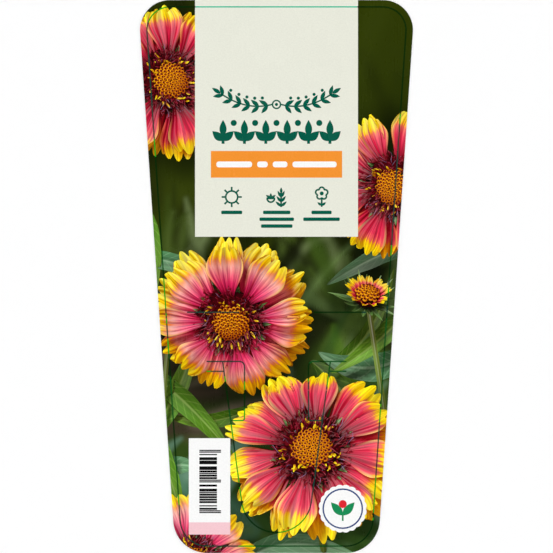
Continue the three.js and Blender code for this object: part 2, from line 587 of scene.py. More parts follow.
def seen_faces(points, faces, tree):
    """Which faces have a corner or a middle that nothing covers from above."""

    def is_open(place):
        return tree.ray_cast(Vector(place) + UP * RAY_START, UP)[0] is None

    open_corners = np.array([is_open(p) for p in points])
    seen = open_corners[faces].any(axis=1)
    for i in np.nonzero(~seen)[0]:
        seen[i] = is_open(points[faces[i]].mean(axis=0))
    return seen


def daylight(points, normals, tree):
    """How light each point is, and how much it shines upwards."""
    half_way = (SUN + UP).normalized()
    sky_total = sum(d.z for d in SKY)
    light = np.empty(len(points))
    shine = np.empty(len(points))
    for i, (point, normal) in enumerate(zip(points, normals)):
        normal = Vector(normal)
        start = Vector(point) + normal * RAY_START
        sky = 0.0
        for d in SKY:
            facing = normal.dot(d)
            if facing > 0 and tree.ray_cast(start, d)[0] is None:
                sky += facing
        facing_sun = max(0.0, normal.dot(SUN))
        beams = [d for d in SUNBEAMS if facing_sun and tree.ray_cast(start, d)[0] is None]
        sunlit = len(beams) / SUN_RAYS
        light[i] = SKY_SHARE * sky / sky_total + SUN_SHARE * sunlit * facing_sun
        shine[i] = sunlit * max(0.0, normal.dot(half_way)) ** SHINE_WIDTH
    return light, shine


CUT_TOLERANCE = 1e-9


def slice_mesh(work, place, normal, clear_outer=False):
    """Cuts a mesh across at a plane, and may drop what lies beyond it."""
    everything = work.verts[:] + work.edges[:] + work.faces[:]
    plane = dict(plane_co=place, plane_no=normal, clear_outer=clear_outer)
    bmesh.ops.bisect_plane(work, geom=everything, dist=CUT_TOLERANCE, **plane)


def trim_to_label(mesh):
    """Cuts a mesh off at the label's outline, and puts its faces in order from low to high."""
    work = bmesh.new()
    work.from_mesh(mesh)
    for start, end in zip(LABEL_OUTLINE, np.roll(LABEL_OUTLINE, -1, axis=0)):
        out = Vector((end[1] - start[1], start[0] - end[0], 0)).normalized()
        place = Vector((*start, 0))
        if any((v.co - place).dot(out) > 0 for v in work.verts):
            slice_mesh(work, place, out, clear_outer=True)
    work.faces.sort(key=lambda f: f.calc_center_median().z)
    work.to_mesh(mesh)
    work.free()


def press_flat(name, plant, centre, heights, materials, below=()):
    """Prints a plant on the label around a centre, between two heights above the sheet, both in
    millimetres. It lies below other blooms, whose shade falls on it."""
    points, normals, marks, faces, parts = plant.joined()
    tree = BVHTree.FromPolygons(points.tolist(), faces.tolist())
    seen = seen_faces(points, faces, tree)
    used, faces = np.unique(faces[seen], return_inverse=True)
    faces = faces.reshape(-1, 4)
    points, normals, marks = points[used], normals[used], marks[used]
    light, shine = daylight(points, normals, tree)
    bottom, top = (SHEET_FRONT + height * MM for height in heights)
    flat = points + np.array([*centre, 0]) * MM
    flat[:, 2] = np.interp(points[:, 2], [points[:, 2].min(), points[:, 2].max()], [bottom, top])
    light *= shade_of(below, flat[:, :2] / MM)
    piece = new_piece(name, flat, faces, materials)
    mesh = piece.data
    mesh.polygons.foreach_set("material_index", parts[seen].astype(np.int32))
    along, across, tone = marks.T
    layers = dict(along=along, across=across, tone=tone, light=light, shine=shine)
    for layer, values in layers.items():
        made = mesh.attributes.new(layer, "FLOAT", "POINT")
        made.data.foreach_set("value", values.astype(np.float32))
    trim_to_label(mesh)
    plan_map(mesh)
    return print_on_label(piece)


# How a plant's colours take the light. Its red fades less in the shade than its green and blue,
# the more so the warmer it is.
DARKEST = 0.02
RED_FADE = (1.0, 0.5)
OTHER_FADE = (1.1, 1.5)
GLEAM = (255, 236, 236)
VEIN_LENGTH = 1.6
VEIN_VARIETY = 57.0
VEIN_RANGE = (0.32, 0.68)
VEIN_PATCHES = 0.3
VEIN_PATCH_RANGE = (0.30, 0.70)


def light_group():
    """The colour that a plant shows in the picture's light. Warmth keeps the red in its shade."""
    inputs = {"Colour": "Color", "Warmth": "Float", "Shine": "Float"}
    group, enter = new_group("picture_light", inputs, {"Colour": "Color"})
    level = maths(group, "MAXIMUM", mark(group, "light"), DARKEST)
    red_fade = span(group, enter["Warmth"], 0.0, 1.0, *RED_FADE)
    other_fade = span(group, enter["Warmth"], 0.0, 1.0, *OTHER_FADE)
    other = maths(group, "POWER", level, other_fade)
    channels = {"Red": maths(group, "POWER", level, red_fade), "Green": other, "Blue": other}
    shade = add_node(group, "ShaderNodeCombineColor", channels).outputs["Color"]
    lit = mixed(group, 1.0, enter["Colour"], shade, "MULTIPLY")
    gleam = maths(group, "MULTIPLY", mark(group, "shine"), enter["Shine"])
    add_node(group, "NodeGroupOutput", {"Colour": mixed(group, gleam, lit, ink(*GLEAM))})
    return group


def vein_group():
    """Fine uneven lines that run along a petal or leaf, from 0 to 1, and broad soft patches."""
    group, enter = new_group("veins", {"Count": "Float"}, {"Vein": "Float", "Patch": "Float"})
    place = {
        "X": maths(group, "MULTIPLY", mark(group, "across"), enter["Count"]),
        "Y": maths(group, "MULTIPLY", mark(group, "along"), VEIN_LENGTH),
        "Z": maths(group, "MULTIPLY", mark(group, "tone"), VEIN_VARIETY),
    }
    place = add_node(group, "ShaderNodeCombineXYZ", place).outputs["Vector"]
    results = {
        "Vein": span(group, noise(group, place, 1.0), *VEIN_RANGE),
        "Patch": span(group, noise(group, place, VEIN_PATCHES, detail=1.0), *VEIN_PATCH_RANGE),
    }
    add_node(group, "NodeGroupOutput", results)
    return group


PICTURE_LIGHT = light_group()
VEINS = vein_group()

# Where the ribs and the rim of a leaf or petal lie: how far off its middle line, and from which
# part of its length on.
SIDE_RIB_SLANT = -1.4
SIDE_RIB_WIDTH = 0.22
SIDE_RIB_DEPTH = 0.5
RIB_EDGES = (0.16, 0.03)
RIM_EDGES = (0.86, 1.0)
RIM_FROM = (0.25, 0.6)
RIM_DEPTH = 0.75
VEIN_LIGHT = 0.4
VEIN_PATCH_DEPTH = 0.5


def ramp(tree, factor, stops):
    """The colour output of a ramp through stops of a place and a printed colour."""
    node = add_node(tree, "ShaderNodeValToRGB", {"Fac": factor})
    elements = node.color_ramp.elements
    for element, (place, colour) in zip((elements[0], elements[1]), (stops[0], stops[-1])):
        element.position = place
        element.color = ink(*colour)
    for place, colour in stops[1:-1]:
        elements.new(place).color = ink(*colour)
    return node.outputs["Color"]


def plant_material(name, stops, warmth, shine, veins=6.0, streak=0.10, drift=0.15, depth=0.2,
                   rib=None, rim=None, side_ribs=0):
    """The print of one kind of petal, leaf or hair, with its colours from base to tip. Streak
    moves them along each vein, drift from one petal to the next, and depth is how dark the
    veins are. rib and rim are the colours of its middle line and its edge, and side_ribs is
    how many fainter ribs branch off the middle line."""
    material, tree, shader = new_material(name)

    def centred(value, strength):
        return maths(tree, "MULTIPLY", maths(tree, "SUBTRACT", value, 0.5), strength)

    lines = add_node(tree, "ShaderNodeGroup", {"Count": veins}, node_tree=VEINS).outputs
    moved = maths(tree, "ADD", centred(lines["Vein"], streak), centred(mark(tree, "tone"), drift))
    colour = ramp(tree, maths(tree, "ADD", mark(tree, "along"), moved), stops)
    offside = maths(tree, "ABSOLUTE", mark(tree, "across"))
    if side_ribs:
        slant = maths(tree, "MULTIPLY", offside, SIDE_RIB_SLANT)
        phase = maths(tree, "MULTIPLY", mark(tree, "along"), side_ribs)
        turn = maths(tree, "FRACT", maths(tree, "ADD", phase, slant))
        side_rib = span(tree, turn, 0.0, SIDE_RIB_WIDTH, SIDE_RIB_DEPTH, 0.0)
        colour = mixed(tree, side_rib, colour, ink(*rib))
    if rib:
        colour = mixed(tree, span(tree, offside, *RIB_EDGES), colour, ink(*rib))
    if rim:
        edge = span(tree, offside, *RIM_EDGES)
        outer = span(tree, mark(tree, "along"), *RIM_FROM, 0.0, RIM_DEPTH)
        colour = mixed(tree, maths(tree, "MULTIPLY", edge, outer), colour, ink(*rim))
    patchy = VEIN_PATCH_DEPTH * depth
    vein_shade = span(tree, lines["Vein"], 0.0, 1.0, 1 - depth, 1 + VEIN_LIGHT * depth)
    patch_shade = span(tree, lines["Patch"], 0.0, 1.0, 1 - patchy, 1 + patchy)
    shade = maths(tree, "MULTIPLY", vein_shade, patch_shade)
    grey = add_node(tree, "ShaderNodeCombineColor", {"Red": shade, "Green": shade, "Blue": shade})
    colour = mixed(tree, 1.0, colour, grey.outputs["Color"], "MULTIPLY")
    inputs = {"Colour": colour, "Warmth": warmth, "Shine": shine}
    lit = add_node(tree, "ShaderNodeGroup", inputs, node_tree=PICTURE_LIGHT)
    finish_film(tree, shader, lit.outputs["Colour"])
    return material


def prints_of(kinds):
    """The materials for kinds of petal, leaf or hair, from the looks of each."""
    return [plant_material(f"{kind}_print", **looks) for kind, looks in kinds.items()]


def blade(path, half_widths, columns=3, crease=0.0):
    """A grid of points along a path in space, for a leaf, a stem or a hair. The crease sinks
    its middle line, or lifts it where it is below 0."""
    path = np.asarray(path, float)
    side = np.cross((0, 0, 1), np.gradient(path, axis=0))
    side = side / np.maximum(np.linalg.norm(side, axis=1, keepdims=True), SHORTEST_SIDE)
    knots = np.linspace(0, 1, len(half_widths))
    width = np.interp(np.linspace(0, 1, len(path)), knots, half_widths)
    across = np.linspace(-1, 1, columns)
    points = path[:, None] + side[:, None] * (width[:, None] * across)[..., None]
    points[..., 2] -= crease * width[:, None] * (1 - np.abs(across))
    return points


# Leaves and stems: the kind of each, its root, bend and tip, half its width, and how high it is
# above the garden, in millimetres.
LEAVES = [
    ("grey_leaf", (66, -34), (44, -52), (20, -36), 6.4, 3),
    ("green_leaf", (16, -40), (40, -58), (58, -104), 5.2, 9),
    ("green_leaf", (66, -120), (48, -92), (36, -50), 4.8, 14),
    ("grey_leaf", (64, -66), (50, -62), (26, -80), 5.0, 6),
    ("green_leaf", (56, -140), (66, -100), (54, -58), 4.0, 18),
    ("green_leaf", (-66, -78), (-48, -66), (-38, -28), 5.4, 8),
    ("grey_leaf", (-66, -104), (-52, -84), (-36, -92), 5.0, 6),
    ("grey_leaf", (-20, -140), (0, -118), (40, -134), 5.5, 5),
    ("green_leaf", (-6, -60), (-30, -74), (-52, -66), 3.6, 4),
    ("grey_leaf", (-64, 8), (-48, 10), (-30, -4), 4.4, 5),
    ("green_leaf", (68, -8), (54, -30), (26, -46), 4.6, 12),
    ("green_leaf", (20, -44), (44, -40), (56, 4), 3.6, 2),
    ("grey_leaf", (68, 16), (48, 12), (24, -4), 4.2, 1),
    ("green_leaf", (-64, -44), (-44, -56), (-20, -86), 5.0, 10),
    ("green_leaf", (-66, -58), (-50, -92), (-44, -120), 4.6, 11),
    ("green_leaf", (-68, 40), (-56, 22), (-58, -10), 4.0, 3),
    ("stem", (62, -134), (52, -70), (44, -16), 1.5, 22),
    ("stem", (-52, -140), (-60, -60), (-44, 10), 1.3, 12),
    ("stem", (24, -140), (18, -100), (4, -60), 1.5, 10),
]
LEAF_KINDS = {
    "green_leaf": dict(
        stops=[(0.0, (58, 96, 16)), (0.5, (82, 130, 26)), (1.0, (112, 154, 44))],
        warmth=0.1, shine=0.04, veins=5.0, depth=0.30, rib=(134, 168, 72), side_ribs=11,
    ),
    "grey_leaf": dict(
        stops=[(0.0, (64, 108, 64)), (0.5, (90, 144, 96)), (1.0, (118, 166, 118))],
        warmth=0.1, shine=0.06, veins=5.0, depth=0.28, rib=(142, 184, 140), side_ribs=9,
    ),
    "stem": dict(
        stops=[(0.0, (96, 122, 40)), (1.0, (128, 148, 62))],
        warmth=0.1, shine=0.25, veins=2.0, depth=0.12,
    ),
}
LEAVES_SEED = 23
LEAF_STEPS = 60
LEAF_COLUMNS = 13
LEAF_CREASE = 0.35
LEAF_LEAN = 0.8  # below 1, a leaf is widest before its middle
LEAF_FULLNESS = 0.75  # below 1, its sides are fuller than a lens's
LEAF_TIP = 0.03
ROOT_DROP = 6
BEND_RISE = 8
WAVE_STARTS = (0, 6)
RIPPLE_SIZE = 0.03
RIPPLE_COUNT = 23
SWAY_SIZE = 0.9
SWAY_COUNT = 9
STEM_TAPER = np.array([1.0, 0.8])
STEM_COLUMNS = 7
STEM_ROUNDNESS = 0.9
LEAF_LAYER = (0.020, 0.030)


def leaf_outline(share, ripple_start):
    """A leaf's half width along its length."""
    ripple = 1 + RIPPLE_SIZE * np.sin(share * RIPPLE_COUNT + ripple_start)
    return np.sin(np.pi * share**LEAF_LEAN) ** LEAF_FULLNESS * ripple + LEAF_TIP


def grow_leaves():
    rng = np.random.default_rng(LEAVES_SEED)
    plant = Plant()
    share = np.linspace(0, 1, LEAF_STEPS)
    for kind, root, bend, tip, half_width, low in LEAVES:
        path = bezier((*root, low - ROOT_DROP), (*bend, low + BEND_RISE), (*tip, low), LEAF_STEPS)
        if kind == "stem":
            widths = STEM_TAPER * half_width * MM
            points = blade(path * MM, widths, STEM_COLUMNS, crease=-STEM_ROUNDNESS)
        else:
            widths = leaf_outline(share, rng.uniform(*WAVE_STARTS)) * half_width * MM
            points = blade(path * MM, widths, LEAF_COLUMNS, crease=LEAF_CREASE)
            sway = np.sin(share * SWAY_COUNT + rng.uniform(*WAVE_STARTS)) * SWAY_SIZE * MM
            points[..., 2] += sway[:, None] * np.linspace(-1, 1, LEAF_COLUMNS)
        plant.add_blade(points, rng.random(), list(LEAF_KINDS).index(kind))
    return plant


picture_leaves = press_flat(
    "picture_leaves", grow_leaves(), (0, 0), LEAF_LAYER, prints_of(LEAF_KINDS), BLOOM_PLACES
)

# ---------------------------------------------------------------------------------------------
# The picture's blooms. Each has three rings of ray petals with three-lobed yellow tips, a mound
# of dark bristles and hairs with yellow stigmas among them, and a dome of tubular florets.

PETAL_DRIFT = 0.34  # how much further up or down the yellow starts on some petals
PETAL_TIP = [(0.70, (252, 176, 12)), (0.78, (255, 210, 0)), (1.00, (255, 226, 14))]
PETAL_LOOKS = dict(
    warmth=0.6, shine=0.14, veins=8.5, streak=0.15, drift=PETAL_DRIFT, depth=0.42,
    rim=(250, 206, 84),
)
BLOOM_KINDS = {
    "coral_petal": dict(
        stops=[
            (0.00, (92, 2, 26)), (0.10, (180, 12, 64)), (0.28, (228, 46, 100)),
            (0.42, (244, 104, 126)), (0.56, (252, 164, 150)), (0.655, (250, 140, 76)), *PETAL_TIP,
        ],
        **PETAL_LOOKS,
    ),
    "crimson_petal": dict(
        stops=[
            (0.00, (76, 0, 14)), (0.12, (140, 2, 32)), (0.32, (198, 10, 54)),
            (0.52, (228, 38, 74)), (0.63, (242, 94, 86)), (0.67, (248, 120, 56)), *PETAL_TIP,
        ],
        **PETAL_LOOKS,
    ),
    "floret": dict(
        stops=[
            (0.00, (66, 0, 4)), (0.40, (100, 6, 6)), (0.54, (196, 88, 2)),
            (0.72, (246, 164, 2)), (1.00, (228, 136, 2)),
        ],
        warmth=0.5, shine=0.03, veins=2.0, streak=0.05, drift=0.22, depth=0.15,
    ),
    "mound": dict(
        stops=[(0.0, (92, 6, 10)), (1.0, (56, 2, 10))],
        warmth=0.4, shine=0.0, depth=0.3,
    ),
    "bristle": dict(
        stops=[(0.0, (62, 2, 8)), (0.6, (124, 8, 26)), (1.0, (146, 28, 50))],
        warmth=0.5, shine=0.12, drift=0.9, depth=0.1,
    ),
    "hair": dict(
        stops=[(0.0, (92, 28, 60)), (1.0, (164, 128, 168))],
        warmth=0.2, shine=0.2, drift=0.6, depth=0.1,
    ),
    "stigma": dict(
        stops=[(0.0, (190, 104, 8)), (0.35, (248, 196, 8)), (1.0, (255, 224, 16))],
        warmth=0.5, shine=0.10, drift=0.3, depth=0.1,
    ),
    "bract": dict(
        stops=[(0.0, (44, 70, 30)), (0.6, (84, 122, 56)), (1.0, (120, 156, 84))],
        warmth=0.1, shine=0.2, veins=3.0, depth=0.2, rib=(136, 168, 100),
    ),
}
BLOOM_PRINTS = prints_of(BLOOM_KINDS)
CORAL, CRIMSON, FLORET, MOUND, BRISTLE, HAIR, STIGMA, BRACT = range(len(BLOOM_KINDS))

# A petal's shape, in shares of its length or of its half width.
PETAL_ROWS = 30
PETAL_COLUMNS = 25
PETAL_LOBES = ((-0.66, 0.93), (0.0, 1.0), (0.66, 0.93))  # each lobe's place and its reach
LOBE_SPREAD = 0.02
LOBE_HALF_WIDTH = 0.34
LOBE_BLUNTNESS = 2.4
PETAL_ROOT_WIDTH = 0.30
PETAL_WIDEST = 0.78
PETAL_TAPER_FROM = 0.76
PETAL_TAPER = 0.24
GROOVE_WIDTH = 0.11
GROOVE_DEPTH = 0.13
GROOVE_FROM = 0.2
WAVE_COUNT = 7
WAVE_HEIGHT = 0.10
PLEAT_COUNT = 21
PLEAT_HEIGHT = 0.035

# The rings of petals from the lowest up: how many there are, their pitch in degrees at the base
# and at the tip, how high they start, and their tone. Sizes are in shares of the bloom's radius.
PETAL_RINGS = [
    dict(count=11, pitch=(-2, -40), length=0.72, start=0.000, tone=0.82),
    dict(count=10, pitch=(8, -30), length=0.71, start=0.042, tone=0.54),
    dict(count=8, pitch=(15, -24), length=0.68, start=0.084, tone=0.40),
]
PETAL_BASE = 0.30
PETAL_STAGGER = 0.020
PETAL_WIDTH = 0.42

# How much one petal differs from the next.
LENGTH_VARIETY = (0.92, 1.06)
WIDTH_VARIETY = (0.84, 1.16)
NOTCH_VARIETY = (0.08, 0.17)
CUP_VARIETY = (-0.15, 0.30)
PITCH_SPREAD = 2.5
ROLL_SPREAD = 0.13
TONE_SPREAD = 0.09
TURN_VARIETY = (-0.2, 0.2)

# The mound and the dome of florets on it, in shares of the bloom's radius too. A round grid
# leaves a tiny eye open in its middle.
MOUND_GRID = (14, 49)
MOUND_EYE = 0.001
MOUND_RADIUS = 0.42
MOUND_BASE = 0.06
MOUND_RISE = 0.10
DOME_RADIUS = 0.215
DOME_RISE = 0.05
DOME_BLUNTNESS = 0.7

# The florets: their size in shares of the spacing between them, how much bigger and darker they
# are towards the dome's rim, and how far the lip of each rises and its edge falls.
FLORET_GRID = (8, 11)
FLORET_EYE = 0.02
FLORET_COUNT = 84
FLORET_SEAT = 0.006
FLORET_SIZE = 0.58
FLORET_GROWTH = 0.12
FLORET_VARIETY = (0.94, 1.06)
FLORET_LIP = 0.38
FLORET_FALL = 0.16
FLORET_TONE = 0.72
FLORET_FADE = 0.55
FLORET_TONE_SPREAD = 0.05

# Bristles, hairs and stigmas. They lean outwards and bend aside.
WHISKERS = [
    dict(part=BRISTLE, count=460, zone=(0.19, 0.42), length=(0.06, 0.12), width=0.0075),
    dict(part=HAIR, count=36, zone=(0.24, 0.42), length=(0.08, 0.16), width=0.0035),
    dict(part=STIGMA, count=32, zone=(0.20, 0.32), length=(0.06, 0.10), width=0.0135),
]
WHISKER_STEPS = 6
WHISKER_TAPER = np.array([1.0, 1.0, 0.9, 0.35])
WHISKER_LEAN = (15, 72)
WHISKER_SPREAD = 0.55
WHISKER_BEND = 0.22
WHISKER_ROUNDNESS = 0.8

BRACT_COUNT = 13
BRACT_TURN = (-0.3, 0.3)
BRACT_ROOT = (0.36, 0, 0.075)
BRACT_BEND = (0.42, 0, 0.12)
BRACT_REACH = (0.46, 0.53)
BRACT_HEIGHT = 0.10
BRACT_WIDTHS = (0.030, 0.026, 0.015, 0.001)
BRACT_STEPS = 9
BRACT_COLUMNS = 5
BRACT_CREASE = 0.4


def ray_petal(length, width, pitch, notch, cup, roll, ripple, spread=(0, 0, 0)):
    """One petal that runs out from the origin along X, with its marks along and across it."""
    share, across = np.meshgrid(
        np.linspace(0, 1, PETAL_ROWS), np.linspace(-1, 1, PETAL_COLUMNS), indexing="ij"
    )
    lobes = [
        reach + extra - notch * np.abs((across - place) / LOBE_HALF_WIDTH) ** LOBE_BLUNTNESS
        for (place, reach), extra in zip(PETAL_LOBES, spread)
    ]
    along = share * np.max(lobes, axis=0)
    swell = PETAL_ROOT_WIDTH + (1 - PETAL_ROOT_WIDTH) * smooth(share / PETAL_WIDEST)
    tip_share = np.clip((share - PETAL_TAPER_FROM) / (1 - PETAL_TAPER_FROM), 0, 1)
    half = width / 2 * swell * (1 - PETAL_TAPER * tip_share**2)
    start, end = np.radians(pitch)
    angle = start + (end - start) * along
    reach = length * (np.sin(angle) - math.sin(start)) / (end - start)
    rise = length * (math.cos(start) - np.cos(angle)) / (end - start)
    grooves = np.exp(-(((np.abs(across) - LOBE_HALF_WIDTH) / GROOVE_WIDTH) ** 2))
    grooves = grooves * smooth(share / GROOVE_FROM)
    waves = np.sin(WAVE_COUNT * along + ripple) * across**2
    lift = half * (cup * across**2 - GROOVE_DEPTH * grooves + WAVE_HEIGHT * waves)
    lift = lift + half * PLEAT_HEIGHT * np.cos(across * PLEAT_COUNT)
    side = half * across
    twist = roll * along
    side, lift = (
        side * np.cos(twist) - lift * np.sin(twist), side * np.sin(twist) + lift * np.cos(twist)
    )
    points = np.stack([reach - lift * np.sin(angle), side, rise + lift * np.cos(angle)], axis=-1)
    return points, along, across


def turned(points, angle):
    """Points turned about the Z axis."""
    return points @ np.array(Matrix.Rotation(angle, 3, "Z")).T


def around(i, count, drift):
    """The angle of one of several things in a ring, a little off its even place."""
    return 2 * math.pi * (i + drift) / count


def on_ring(share, angle, height):
    """Points at a share of the radius, an angle and a height."""
    return np.stack([share * np.cos(angle), share * np.sin(angle), height], axis=-1)


def ring_grid(start, end, steps):
    """The distance from the middle and the angle of each point of a round grid."""
    rows, columns = steps
    return np.meshgrid(
        np.linspace(start, end, rows), np.linspace(0, 2 * math.pi, columns), indexing="ij"
    )


def mound_height(share):
    """The height of a bloom's mound and dome at a share of its radius."""
    dome = DOME_RISE * np.clip(1 - (share / DOME_RADIUS) ** 2, 0, 1) ** DOME_BLUNTNESS
    return MOUND_BASE + MOUND_RISE * (1 - (share / MOUND_RADIUS) ** 2) + dome


def add_petals(plant, radius, rng, part):
    for ring in PETAL_RINGS:
        offset = rng.uniform(0, 2 * math.pi)
        for i in range(ring["count"]):
            points, along, across = ray_petal(
                length=radius * ring["length"] * rng.uniform(*LENGTH_VARIETY),
                width=radius * PETAL_WIDTH * rng.uniform(*WIDTH_VARIETY),
                pitch=ring["pitch"] + rng.normal(0, PITCH_SPREAD, 2),
                notch=rng.uniform(*NOTCH_VARIETY),
                cup=rng.uniform(*CUP_VARIETY),
                roll=rng.normal(0, ROLL_SPREAD),
                ripple=rng.uniform(*WAVE_STARTS),
                spread=rng.normal(0, LOBE_SPREAD, len(PETAL_LOBES)),
            )
            points[..., 0] += PETAL_BASE * radius
            points[..., 2] += (ring["start"] + PETAL_STAGGER * (i % 2)) * radius
            angle = offset + around(i, ring["count"], rng.uniform(*TURN_VARIETY))
            tone = ring["tone"] + rng.normal(0, TONE_SPREAD)
            plant.add_grid(turned(points, angle), along, across, tone, part)


def add_mound(plant, radius):
    share, angle = ring_grid(MOUND_EYE, MOUND_RADIUS, MOUND_GRID)
    points = on_ring(share, angle, mound_height(share)) * radius
    plant.add_grid(points, share / MOUND_RADIUS, np.sin(angle), 0.5, MOUND)


def add_florets(plant, radius, rng, count=FLORET_COUNT):
    """Small rings with dark throats, laid on the dome in the way that seeds lie in a head."""
    rho, angle = ring_grid(FLORET_EYE, 1, FLORET_GRID)
    spacing = DOME_RADIUS * math.sqrt(math.pi / count)
    for i in range(count):
        share = DOME_RADIUS * math.sqrt((i + 0.5) / count)
        outwards = (share / DOME_RADIUS) ** 2
        turn = i * GOLDEN_TURN
        size = spacing * (FLORET_SIZE + FLORET_GROWTH * outwards) * rng.uniform(*FLORET_VARIETY)
        lip = size * (FLORET_LIP * (1 - (2 * rho - 1) ** 2) - FLORET_FALL * rho**4)
        points = on_ring(share, turn, mound_height(share)) + on_ring(size * rho, angle, lip)
        points[..., 2] += FLORET_SEAT
        tone = FLORET_TONE - FLORET_FADE * outwards + rng.normal(0, FLORET_TONE_SPREAD)
        plant.add_grid(points * radius, rho, np.sin(angle), tone, FLORET)


def add_whiskers(plant, radius, rng):
    for kind in WHISKERS:
        inner, outer = kind["zone"]
        for _ in range(kind["count"]):
            share = math.sqrt(rng.uniform(inner**2, outer**2))
            turn = rng.uniform(0, 2 * math.pi)
            leaning = turn + rng.normal(0, WHISKER_SPREAD)
            lean = math.radians(rng.uniform(*WHISKER_LEAN))
            length = rng.uniform(*kind["length"])
            root = on_ring(share, turn, mound_height(share))
            out = np.array([math.cos(leaning), math.sin(leaning), 0]) * math.cos(lean)
            tip = root + (out + [0, 0, math.sin(lean)]) * length
            bend = (root + tip) / 2 + rng.normal(0, WHISKER_BEND * length, 3)
            path = bezier(root, bend, tip, WHISKER_STEPS)
            points = blade(path, WHISKER_TAPER * kind["width"], crease=-WHISKER_ROUNDNESS)
            plant.add_blade(points * radius, rng.random(), kind["part"])


def add_bracts(plant, radius, rng):
    """Green tips that stand up between the petals, just outside the mound."""
    for i in range(BRACT_COUNT):
        turn = around(i, BRACT_COUNT, rng.uniform(*BRACT_TURN))
        tip = (rng.uniform(*BRACT_REACH), 0, BRACT_HEIGHT)
        path = bezier(BRACT_ROOT, BRACT_BEND, tip, BRACT_STEPS)
        points = blade(path, BRACT_WIDTHS, BRACT_COLUMNS, BRACT_CREASE) * radius
        plant.add_blade(turned(points, turn), rng.random(), BRACT)


def tilt_plant(plant, degrees, towards):
    """Leans a plant's face over towards a direction on the label, both in degrees."""
    angle = math.radians(towards)
    axis = Vector((-math.sin(angle), math.cos(angle), 0))
    rotation = np.array(Matrix.Rotation(math.radians(degrees), 3, axis)).T
    plant.points = [points @ rotation for points in plant.points]
    normals = [normals @ rotation for normals in plant.normals]
    plant.normals = [np.where(n[:, 2:] < 0, -n, n) for n in normals]


def grow_bloom(radius, rng, petal):
    plant = Plant()
    add_petals(plant, radius, rng, petal)
    add_mound(plant, radius)
    add_florets(plant, radius, rng)
    add_whiskers(plant, radius, rng)
    add_bracts(plant, radius, rng)
    return plant


# How far and which way each bloom's face leans, in degrees, and the print of its petals. The low
# bloom overlaps the middle one, so it lies in a higher layer of ink.
LOWER_LAYER = (0.045, 0.088)
UPPER_LAYER = (0.092, 0.136)
BLOOMS = [
    dict(name="bloom_middle", tilt=24, towards=-110, seed=3, petal=CORAL, below=["bloom_low"]),
    dict(name="bloom_low", tilt=20, towards=100, seed=8, petal=CRIMSON, layer=UPPER_LAYER),
    dict(name="bloom_left", tilt=16, towards=30, seed=14, petal=CRIMSON),
    dict(name="bloom_right", tilt=22, towards=200, seed=21, petal=CRIMSON),
    dict(name="bloom_corner", tilt=18, towards=60, seed=27, petal=CORAL, below=["bloom_low"]),
]


def print_bloom(name, tilt, towards, seed, petal, grow=grow_bloom, layer=LOWER_LAYER, below=()):
    centre, radius = BLOOM_PLACES[name]
    plant = grow(radius * MM, np.random.default_rng(seed), petal)
    tilt_plant(plant, tilt, towards)
    return press_flat(name, plant, centre, layer, BLOOM_PRINTS, below)


bloom_pieces = [print_bloom(**bloom) for bloom in BLOOMS]

# ---------------------------------------------------------------------------------------------
# The picture's bud, half open on a stem at the right: long green bracts round a few short petals
# that still stand up, and a dome of florets.

BUD = dict(name="bud", tilt=46, towards=80, seed=41, petal=CRIMSON, below=["bloom_right"])
BUD_LAYER = (0.031, 0.042)
BUD_BRACTS = 17
BUD_BRACT_TURN = (-0.25, 0.25)
BUD_BRACT_ROOT = (0.10, 0, -0.10)
BUD_BRACT_BEND = (0.55, 0, -0.02)
BUD_BRACT_REACH = (0.62, 0.95)
BUD_BRACT_RISE = (0, 0.25)
BUD_BRACT_WIDTHS = (0.07, 0.085, 0.06, 0.03, 0.002)
BUD_BRACT_STEPS = 12
BUD_BRACT_CREASE = 0.5
BUD_PETALS = 13
BUD_PETAL_SHAPE = dict(pitch=(64, 20), notch=0.16, cup=0.5, ripple=0.0)
BUD_PETAL_LENGTH = 0.42
BUD_LENGTH_VARIETY = (0.9, 1.1)
BUD_PETAL_WIDTH = 0.20
BUD_ROLL_SPREAD = 0.2
BUD_PETAL_BASE = 0.24
BUD_PETAL_TONE = 0.75
BUD_FLORETS = 34
BUD_MOUND_SIZE = 0.8
BUD_DOME_SIZE = 1.3


def grow_bud(radius, rng, petal):
    plant = Plant()
    for i in range(BUD_BRACTS):
        turn = around(i, BUD_BRACTS, rng.uniform(*BUD_BRACT_TURN))
        tip = (rng.uniform(*BUD_BRACT_REACH), 0, rng.uniform(*BUD_BRACT_RISE))
        path = bezier(BUD_BRACT_ROOT, BUD_BRACT_BEND, tip, BUD_BRACT_STEPS)
        points = blade(path, BUD_BRACT_WIDTHS, BRACT_COLUMNS, BUD_BRACT_CREASE) * radius
        plant.add_blade(turned(points, turn), rng.random(), BRACT)
    for i in range(BUD_PETALS):
        points, along, across = ray_petal(
            length=BUD_PETAL_LENGTH * radius * rng.uniform(*BUD_LENGTH_VARIETY),
            width=BUD_PETAL_WIDTH * radius,
            roll=rng.normal(0, BUD_ROLL_SPREAD),
            **BUD_PETAL_SHAPE,
        )
        points[..., 0] += BUD_PETAL_BASE * radius
        turn = around(i, BUD_PETALS, rng.uniform(*TURN_VARIETY))
        plant.add_grid(turned(points, turn), along, across, BUD_PETAL_TONE, petal)
    add_mound(plant, BUD_MOUND_SIZE * radius)
    add_florets(plant, BUD_DOME_SIZE * radius, rng, BUD_FLORETS)
    return plant


bloom_pieces.append(print_bloom(grow=grow_bud, layer=BUD_LAYER, **BUD))

# ---------------------------------------------------------------------------------------------
# The cream panel: opaque ink over the upper middle of the picture, up to the label's wide end.
# What is printed on it in green stands for the plant's name: a garland and a row of leaves.

